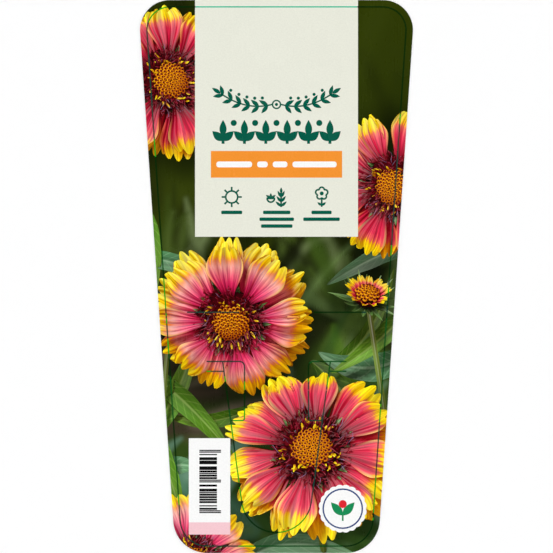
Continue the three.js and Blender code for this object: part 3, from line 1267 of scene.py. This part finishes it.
# The heights above the sheet between which each layer of ink lies, in millimetres. Ink on a panel
# starts a little inside it.
INK_OVERLAP = 0.005
PANEL = (0.0, 0.150)
ON_PANEL = (PANEL[1] - INK_OVERLAP, 0.160)
ON_INK = (ON_PANEL[1] - INK_OVERLAP, 0.170)
INK_STAGGER = 0.001  # keeps shapes that cross each other from lying at one height
INK_STAGGERS = 5
PANEL_SIDES = (-38.75, 38.75)
PANEL_FOOT = 18.9
INK_CLOUDS = 60.0
FILM_SHOW = 0.1  # how much of the white film shines through the thinnest ink
CORNER_STEPS = 6
DISC_STEPS = 24
RING_STEPS = 32
FLAT_LEAF_STEPS = 11
FLAT_LEAF_LEAN = 0.85


def prism(points, faces, bottom, top):
    """A flat shape given a thickness: its top, its bottom, and a wall on every open edge."""
    count = len(points)
    solid = [(x, y, top) for x, y in points] + [(x, y, bottom) for x, y in points]
    edges = {edge for face in faces for edge in zip(face, (*face[1:], face[0]))}
    walls = [(a, a + count, b + count, b) for a, b in sorted(edges) if (b, a) not in edges]
    underside = [tuple(i + count for i in reversed(face)) for face in faces]
    return solid, [*faces, *underside, *walls]


def joined_shapes(shapes):
    """Several lists of points and faces as one."""
    points, faces = [], []
    for shape_points, shape_faces in shapes:
        faces.extend(tuple(i + len(points) for i in face) for face in shape_faces)
        points.extend(shape_points)
    return points, faces


def print_shapes(name, shapes, material, heights=ON_PANEL):
    """Prints flat shapes as one piece, between two heights above the sheet, in millimetres."""
    bottom, top = heights
    solids = []
    for i, (outline, faces) in enumerate(shapes):
        high = top + INK_STAGGER * (i % INK_STAGGERS)
        low, high = SHEET_FRONT + bottom * MM, SHEET_FRONT + high * MM
        solids.append(prism(np.asarray(outline) * MM, faces, low, high))
    return print_on_label(new_piece(name, *joined_shapes(solids), [material]))


def polygon(points):
    return points, [tuple(range(len(points)))]


def arc(x, y, radius, start, end, steps):
    """Points on an arc, with its ends in degrees."""
    angles = np.radians(np.linspace(start, end, steps))
    return [(x + radius * math.cos(a), y + radius * math.sin(a)) for a in angles]


def bar(left, right, low, high, corner=0.0):
    """An upright rectangle. Its corners may be round."""
    if not corner:
        return polygon([(left, low), (right, low), (right, high), (left, high)])
    centres = (
        (right - corner, low + corner, -90), (right - corner, high - corner, 0),
        (left + corner, high - corner, 90), (left + corner, low + corner, 180),
    )
    outline = []
    for x, y, start in centres:
        outline.extend(arc(x, y, corner, start, start + 90, CORNER_STEPS))
    return polygon(outline)


def circle(x, y, radius, steps):
    return arc(x, y, radius, 0, 360, steps + 1)[:-1]


def disc(x, y, radius):
    return polygon(circle(x, y, radius, DISC_STEPS))


def band(left, right, closed=False):
    """The strip between two rows of points, its left side and its right side."""
    count = len(left)
    steps = count if closed else count - 1
    faces = [(i, count + i, count + (i + 1) % count, (i + 1) % count) for i in range(steps)]
    return [*left, *right], faces


def ring(x, y, radius, thickness):
    sides = [circle(x, y, radius + side * thickness / 2, RING_STEPS) for side in (-1, 1)]
    return band(*sides, closed=True)


def stroke(path, thickness):
    """A line of even thickness along a path."""
    path = np.asarray(path, float)
    ahead = np.gradient(path, axis=0)
    ahead = ahead / np.linalg.norm(ahead, axis=1, keepdims=True)
    side = np.stack([-ahead[:, 1], ahead[:, 0]], axis=1) * thickness / 2
    return band((path + side).tolist(), (path - side).tolist())


def leaf(x, y, length, width, degrees):
    """A pointed leaf whose stalk end is at a place, and which points in a direction."""
    share = np.linspace(0, 1, FLAT_LEAF_STEPS)
    half = width / 2 * np.sin(np.pi * share**FLAT_LEAF_LEAN)
    upper = [(length * s, h) for s, h in zip(share, half)]
    lower = [(length * s, -h) for s, h in zip(share[1:-1], half[1:-1])]
    along = heading(degrees)
    places = [Vector((x, y)) + along * u + along.orthogonal() * v for u, v in lower + upper[::-1]]
    return polygon([tuple(place) for place in places])


def leaf_pair(x, y, length, width, degrees):
    """Two leaves from one place, to the right and to the left."""
    return [leaf(x, y, length, width, turn) for turn in (degrees, 180 - degrees)]


def ink_material(name, colour, uneven=0.04):
    """Flat ink of one colour, laid a little unevenly."""
    full = ink(*colour)
    lighter = [channel * (1 + uneven) + FILM_SHOW * uneven for channel in full[:3]]
    thin = (*(min(1.0, channel) for channel in lighter), 1.0)
    return film_material(name, (full, thin), INK_CLOUDS, GRAIN_RANGE, detail=3.0)


cream_ink = ink_material("cream_ink", (234, 235, 221), uneven=0.01)
deep_green_ink = ink_material("deep_green_ink", (0, 90, 70))
panel_shape = bar(*PANEL_SIDES, PANEL_FOOT, cad_high.y / MM)
name_panel = print_shapes("name_panel", [panel_shape], cream_ink, PANEL)

GARLAND_RING = 1.9
GARLAND_HEIGHT = 81.8
GARLAND_SPRAY = ((2.2, GARLAND_HEIGHT), (14.5, 78.6), (26.5, 87.0))
GARLAND_LINE = 0.7
GARLAND_LEAF = (5.0, 1.9)
GARLAND_LEAF_TURN = 40
GARLAND_STEP = 7
GARLAND_STEPS = 41
BERRY_RADIUS = 0.75
BERRY_BACK = 1.7
BERRY_OUT = 3.9


def garland():
    """Two thin sprays that run out and up from a ring, with pairs of narrow leaves and berries."""
    shapes = [ring(0, GARLAND_HEIGHT, GARLAND_RING, GARLAND_LINE)]
    shapes.append(disc(0, GARLAND_HEIGHT, BERRY_RADIUS))
    for side in (1, -1):
        path = bezier(*(np.array(place) * (side, 1) for place in GARLAND_SPRAY), GARLAND_STEPS)
        shapes.append(stroke(path, GARLAND_LINE))
        for i in range(GARLAND_STEP // 2, GARLAND_STEPS, GARLAND_STEP):
            ahead = path[i + 1] - path[i - 1]
            ahead = ahead / np.linalg.norm(ahead)
            slope = math.degrees(math.atan2(ahead[1], ahead[0]))
            for turn in (GARLAND_LEAF_TURN, -GARLAND_LEAF_TURN):
                shapes.append(leaf(*path[i], *GARLAND_LEAF, slope + turn))
            if i > GARLAND_STEP:
                out = np.array([-ahead[1], ahead[0]]) * side
                shapes.append(disc(*(path[i] - ahead * BERRY_BACK + out * BERRY_OUT), BERRY_RADIUS))
        shapes.append(leaf(*path[-1], *GARLAND_LEAF, slope))
    return shapes


LEAF_ROW_ENDS = (-30.5, 30.5)
LEAF_ROW_Y = (63.1, 74.5)
LEAF_ROW_COUNT = 6
SPRIG_STALK = (0.7, 4.2)  # half its width, and its height
SPRIG_TOP_LEAF = (3.4, 3.4)  # its height on the stalk, and its width
SPRIG_SIDE_HEIGHT = 1.4
SPRIG_SIDE_LEAF = (6.9, 3.7, 42)
SPRIG_DOT = (1.5, 1.45)  # how far below the row's top, and its radius


def leaf_row():
    """A bold row of sprigs, each three broad leaves over a short stalk, with dots between."""
    start, end = LEAF_ROW_ENDS
    low, high = LEAF_ROW_Y
    step = (end - start) / LEAF_ROW_COUNT
    half_stalk, stalk_height = SPRIG_STALK
    top_height, top_width = SPRIG_TOP_LEAF
    dot_drop, dot_radius = SPRIG_DOT
    shapes = []
    for i in range(LEAF_ROW_COUNT):
        x = start + step * (i + 0.5)
        shapes.append(bar(x - half_stalk, x + half_stalk, low, low + stalk_height))
        shapes.append(leaf(x, low + top_height, high - low - top_height, top_width, 90))
        shapes.extend(leaf_pair(x, low + SPRIG_SIDE_HEIGHT, *SPRIG_SIDE_LEAF))
        if i:
            shapes.append(disc(x - step / 2, high - dot_drop, dot_radius))
    return shapes


print_shapes("name_garland", garland(), deep_green_ink)
print_shapes("name_leaf_row", leaf_row(), deep_green_ink)

# ---------------------------------------------------------------------------------------------
# The advice under the name: an orange bar with a row of white dashes, and three small pictures
# for sun, planting place and season, each over short green dashes.

ORANGE_BAR = (-31.2, 31.2, 47.0, 59.7)
DASH_ROW = (-28.6, 51.9, 54.7)
DASH_LENGTHS = (17.0, 5.0, 7.0, 21.0)
DASH_GAP = 2.4
DASH_CORNER = 1.2
ICON_Y = 37.8
ICON_LINE = 0.82
CAPTION_HIGH = 31.3
CAPTION_DASH = 1.65
CAPTION_CORNER = 0.5
CAPTION_STEP = 3.25
CAPTIONS = [(-21.3, (10.0,)), (0.1, (13.0, 16.4, 15.0)), (21.4, (9.6, 17.4))]


def word_dashes():
    left, low, high = DASH_ROW
    shapes = []
    for length in DASH_LENGTHS:
        shapes.append(bar(left, left + length, low, high, DASH_CORNER))
        left += length + DASH_GAP
    return shapes


SUN_X = -21.3
SUN_RADIUS = 2.85
SUN_RAY = (3.2, 4.8)
SUN_ICON_RAYS = 8


def sun_icon():
    shapes = [ring(SUN_X, ICON_Y, SUN_RADIUS, ICON_LINE)]
    for i in range(SUN_ICON_RAYS):
        out = heading(360 / SUN_ICON_RAYS * i)
        ray = [tuple(Vector((SUN_X, ICON_Y)) + out * reach) for reach in SUN_RAY]
        shapes.append(stroke(ray, ICON_LINE))
    return shapes


POT_X = -2.7
POT_RIM = (ICON_Y - 0.7, 2.1)  # its height, and half its width
POT_RADIUS = 1.75
POT_STEPS = 17
POT_TOP_LEAF = (2.6, 1.2, 90)
POT_SIDE_LEAF = (2.9, 1.2, 35)


def pot_icon():
    """A round pot with three leaves."""
    rim, half_rim = POT_RIM
    return [
        stroke(arc(POT_X, rim, POT_RADIUS, 180, 360, POT_STEPS), ICON_LINE),
        stroke([(POT_X - half_rim, rim), (POT_X + half_rim, rim)], ICON_LINE),
        leaf(POT_X, rim, *POT_TOP_LEAF),
        *leaf_pair(POT_X, rim, *POT_SIDE_LEAF),
    ]


PLANT_X = 2.2
PLANT_LOW = ICON_Y - 4.8
PLANT_STEM = 7.5
PLANT_TOP_HEIGHT = 6.4
PLANT_TOP_LEAF = (3.0, 1.3, 90)
PLANT_LEAF = (3.6, 1.3)
PLANT_PAIRS = ((4.6, 62), (2.4, 52), (0.3, 42))  # the height and turn of each pair of leaves


def plant_icon():
    """A tall stem with pairs of narrow leaves."""
    stem = [(PLANT_X, PLANT_LOW), (PLANT_X, PLANT_LOW + PLANT_STEM)]
    shapes = [stroke(stem, ICON_LINE)]
    shapes.append(leaf(PLANT_X, PLANT_LOW + PLANT_TOP_HEIGHT, *PLANT_TOP_LEAF))
    for height, degrees in PLANT_PAIRS:
        shapes.extend(leaf_pair(PLANT_X, PLANT_LOW + height, *PLANT_LEAF, degrees))
    return shapes


FLOWER_X = 21.5
FLOWER_Y = ICON_Y + 1.7
FLOWER_EYE = 0.95
FLOWER_PETALS = 5
FLOWER_PETAL = (1.75, 1.22)  # how far out its middle is, and its radius
FLOWER_PETAL_TURN = 98
FLOWER_PETAL_STEPS = 13
FLOWER_STALK = (33.1, 37.0)
FLOWER_LEAF_Y = 33.7
FLOWER_LEAF = (2.6, 1.2, 38)


def flower_icon():
    """A flower of round petals on a stalk with two leaves."""
    reach, radius = FLOWER_PETAL
    stalk = [(FLOWER_X, y) for y in FLOWER_STALK]
    shapes = [disc(FLOWER_X, FLOWER_Y, FLOWER_EYE), stroke(stalk, ICON_LINE)]
    for i in range(FLOWER_PETALS):
        turn = 90 + 360 / FLOWER_PETALS * i
        x = FLOWER_X + reach * math.cos(math.radians(turn))
        y = FLOWER_Y + reach * math.sin(math.radians(turn))
        ends = (turn - FLOWER_PETAL_TURN, turn + FLOWER_PETAL_TURN)
        shapes.append(stroke(arc(x, y, radius, *ends, FLOWER_PETAL_STEPS), ICON_LINE))
    return shapes + leaf_pair(FLOWER_X, FLOWER_LEAF_Y, *FLOWER_LEAF)


def captions():
    shapes = []
    for middle, lengths in CAPTIONS:
        for row, length in enumerate(lengths):
            high = CAPTION_HIGH - row * CAPTION_STEP
            sides = (middle - length / 2, middle + length / 2)
            shapes.append(bar(*sides, high - CAPTION_DASH, high, CAPTION_CORNER))
    return shapes


orange_ink = ink_material("orange_ink", (246, 149, 50), uneven=0.02)
white_ink = ink_material("white_ink", (253, 253, 252), uneven=0.0)
advice_icons = sun_icon() + pot_icon() + plant_icon() + flower_icon()
print_shapes("advice_bar", [bar(*ORANGE_BAR)], orange_ink)
print_shapes("advice_dashes", word_dashes(), white_ink, ON_INK)
print_shapes("advice_icons", advice_icons, deep_green_ink)
print_shapes("advice_captions", captions(), deep_green_ink)

# ---------------------------------------------------------------------------------------------
# The till panel at the lower left: white ink with a pink foot, and black stripes of mixed
# widths one above the other. The stripes follow no code, and no number stands beside them.

TILL_SIDES = (-41.7, -22.0)
TILL_ENDS = (-122.7, -76.9)
TILL_FOOT_ENDS = (-122.7, -116.9)
STRIPE_SIDES = (-36.7, -28.3)
GUARD_RIGHT = -26.4
STRIPE_ENDS = (-112.4, -82.5)
STRIPE_GAIN = 0.09
STRIPE_SEED = 95
STRIPE_MODULES = 76
STRIPE_WIDTHS = [1, 2, 2, 3, 4]
STRIPE_GAPS = [1, 1, 2, 3]
GUARD_MODULES = (0, 2, 37, 39, 73, 75)
STRIPE_FIELDS = ((4, 35), (41, 71))


def stripe(right, place, width):
    """A stripe from one module on, as wide as some modules and the little that ink spreads."""
    low, high = STRIPE_ENDS
    module = (high - low) / STRIPE_MODULES
    start, end = low + place * module, low + (place + width) * module
    return bar(STRIPE_SIDES[0], right, start - STRIPE_GAIN, end + STRIPE_GAIN)


def stripes():
    """Black stripes of one to four modules, and longer thin ones at the ends and the middle."""
    rng = np.random.default_rng(STRIPE_SEED)
    shapes = [stripe(GUARD_RIGHT, place, 1) for place in GUARD_MODULES]
    for first, last in STRIPE_FIELDS:
        place = first
        while place < last:
            width = min(int(rng.choice(STRIPE_WIDTHS)), last - place)
            shapes.append(stripe(STRIPE_SIDES[1], place, width))
            place += width + int(rng.choice(STRIPE_GAPS))
    return shapes


pink_ink = ink_material("pink_ink", (249, 205, 212), uneven=0.01)
black_ink = ink_material("black_ink", (12, 11, 12), uneven=0.03)
print_shapes("till_panel", [bar(*TILL_SIDES, *TILL_ENDS)], white_ink, PANEL)
print_shapes("till_panel_foot", [bar(*TILL_SIDES, *TILL_FOOT_ENDS)], pink_ink)
print_shapes("till_stripes", stripes(), black_ink)

# ---------------------------------------------------------------------------------------------
# The seal at the lower right: a white disc with a scalloped edge, a thin blue ring and a sprig
# of two green leaves round a red berry.

SEAL_X = 31.5
SEAL_Y = -110.4
SEAL_RADIUS = 10.9
SEAL_SCALLOPS = 20
SEAL_SCALLOP_STEPS = 12
SEAL_SCALLOP_DEPTH = 0.55
SEAL_RING = (SEAL_RADIUS - 1.6, 0.7)
SEAL_LEAF_Y = SEAL_Y - 3.2
SEAL_LEAF = (8.4, 3.8, 48)
SEAL_STALK = (SEAL_Y - 5.8, SEAL_Y - 2.4)
SEAL_STALK_WIDTH = 0.8
SEAL_BERRY = (SEAL_X, SEAL_Y + 2.2, 1.9)
THROUGH_INK = (ON_PANEL[0], ON_INK[1])


def scalloped_disc(x, y, radius):
    steps = SEAL_SCALLOPS * SEAL_SCALLOP_STEPS
    angles = np.linspace(0, 2 * math.pi, steps, endpoint=False)
    bumps = np.abs(np.sin(angles * SEAL_SCALLOPS / 2))
    reach = radius + SEAL_SCALLOP_DEPTH * bumps
    return polygon([(x + r * math.cos(a), y + r * math.sin(a)) for r, a in zip(reach, angles)])


seal_stalk = stroke([(SEAL_X, y) for y in SEAL_STALK], SEAL_STALK_WIDTH)
seal_sprig = [*leaf_pair(SEAL_X, SEAL_LEAF_Y, *SEAL_LEAF), seal_stalk]
seal_blue_ink = ink_material("seal_blue_ink", (40, 66, 122))
seal_green_ink = ink_material("seal_green_ink", (24, 140, 84))
seal_red_ink = ink_material("seal_red_ink", (222, 36, 48))
print_shapes("seal", [scalloped_disc(SEAL_X, SEAL_Y, SEAL_RADIUS)], white_ink, PANEL)
print_shapes("seal_ring", [ring(SEAL_X, SEAL_Y, *SEAL_RING)], seal_blue_ink)
print_shapes("seal_sprig", seal_sprig, seal_green_ink)
print_shapes("seal_berry", [disc(*SEAL_BERRY)], seal_red_ink, THROUGH_INK)

# ---------------------------------------------------------------------------------------------
# The printer's lines, overprinted in thin green ink: the trim line all round inside the edge,
# and a line on every knife cut. What lies below shows through and changes their colour.

TRIM_INSET = 3.3
TRIM_LINE = 0.60
CUT_GROWTH = 0.15
LINE_STEP = 1.2 * MM
LINE_HEIGHT = 0.172
LINE_PATCHES = 300.0
LINE_SHADE = 0.9
SHARPEST_TURN = 0.5
SAME_CORNER = 1e-6
FACES_UP = 0.9


def moved_outline(outline, distance):
    """An anticlockwise outline moved outwards by a distance, or inwards where it is below 0."""
    outline = np.asarray(outline, float)
    normals = []
    for edge in (outline - np.roll(outline, 1, axis=0), np.roll(outline, -1, axis=0) - outline):
        edge = edge / np.linalg.norm(edge, axis=1, keepdims=True)
        normals.append(np.stack([edge[:, 1], -edge[:, 0]], axis=1))
    middle = normals[0] + normals[1]
    middle = middle / np.linalg.norm(middle, axis=1, keepdims=True)
    stretch = np.maximum((middle * normals[0]).sum(axis=1, keepdims=True), SHARPEST_TURN)
    return (outline + middle * distance / stretch).tolist()


def cut_outlines():
    """The gaps that the knife cuts leave in the sheet's front, each anticlockwise."""
    work = bmesh.new()
    work.from_mesh(label_sheet.data)
    bmesh.ops.remove_doubles(work, verts=work.verts[:], dist=SAME_CORNER)
    work.normal_update()
    following = {}
    for face in (f for f in work.faces if f.normal.z > FACES_UP):
        for loop in face.loops:
            if any(other.normal.z < FACES_UP for other in loop.edge.link_faces):
                following[loop.link_loop_next.vert] = loop.vert
    outlines = []
    while following:
        start, vert = following.popitem()
        outline = [start.co.xy / MM]
        while vert is not start:
            outline.append(vert.co.xy / MM)
            vert = following.pop(vert)
        outlines.append(np.array(outline))
    work.free()
    sheet_edge = max(outlines, key=lambda outline: np.ptp(outline[:, 1]))
    return [outline for outline in outlines if outline is not sheet_edge]


def line_material(name, colour, alpha):
    full = ink(*colour)
    darker = (*(LINE_SHADE * channel for channel in full[:3]), 1.0)
    return film_material(name, (darker, full), LINE_PATCHES, PATCH_RANGE, alpha=alpha)


LINE_MATERIALS = [
    line_material("line_over_garden", (2, 48, 6), 0.75),
    line_material("line_over_leaf", (12, 92, 34), 0.80),
    line_material("line_over_pink", (22, 72, 62), 0.84),
    line_material("line_over_yellow", (30, 178, 32), 0.86),
    line_material("line_over_panel", (22, 206, 163), 0.88),
]
OVER_GARDEN, OVER_LEAF, OVER_PINK, OVER_YELLOW, OVER_PANEL = range(len(LINE_MATERIALS))
YELLOW_FROM = 0.68  # how far along a petal its yellow tip starts


def cut_in_steps(mesh):
    """Cuts lines across at even steps, so that each short part can take a colour of its own."""
    work = bmesh.new()
    work.from_mesh(mesh)
    for axis, low, high in ((0, cad_low.x, cad_high.x), (1, cad_low.y, cad_high.y)):
        normal = Vector((axis == 0, axis == 1, 0))
        for place in np.arange(low, high, LINE_STEP):
            slice_mesh(work, normal * place, normal)
    work.to_mesh(mesh)
    work.free()


def tree_of(piece):
    mesh = piece.data
    return BVHTree.FromPolygons([v.co for v in mesh.vertices], [p.vertices for p in mesh.polygons])


bloom_trees = {piece: tree_of(piece) for piece in bloom_pieces}
leaf_tree = tree_of(picture_leaves)
panel_tree = tree_of(name_panel)


def corner_mean(mesh, face, layer):
    values = mesh.attributes[layer].data
    return np.mean([values[i].value for i in mesh.polygons[face].vertices])


def line_colour_at(place):
    """Which of the line's colours shows over what is printed at a place."""
    if panel_tree.ray_cast(place, -UP)[0]:
        return OVER_PANEL
    for piece, tree in bloom_trees.items():
        face = tree.ray_cast(place, -UP)[2]
        if face is None:
            continue
        drift = PETAL_DRIFT * (corner_mean(piece.data, face, "tone") - 0.5)
        is_petal = piece.data.polygons[face].material_index in (CORAL, CRIMSON)
        tip = corner_mean(piece.data, face, "along") + drift > YELLOW_FROM
        return OVER_YELLOW if is_petal and tip else OVER_PINK
    return OVER_LEAF if leaf_tree.ray_cast(place, -UP)[0] else OVER_GARDEN


def print_lines(name, shapes):
    outlines, faces = joined_shapes(shapes)
    points = [(x * MM, y * MM, SHEET_FRONT + LINE_HEIGHT * MM) for x, y in outlines]
    piece = print_on_label(new_piece(name, points, faces, LINE_MATERIALS))
    cut_in_steps(piece.data)
    for face in piece.data.polygons:
        face.material_index = line_colour_at(face.center + UP * MM)


trim_outline = moved_outline(LABEL_OUTLINE / MM, -TRIM_INSET)
trim_sides = [moved_outline(trim_outline, side * TRIM_LINE / 2) for side in (-1, 1)]
print_lines("trim_line", [band(*trim_sides, closed=True)])
print_lines("knife_lines", [polygon(moved_outline(gap, CUT_GROWTH)) for gap in cut_outlines()])
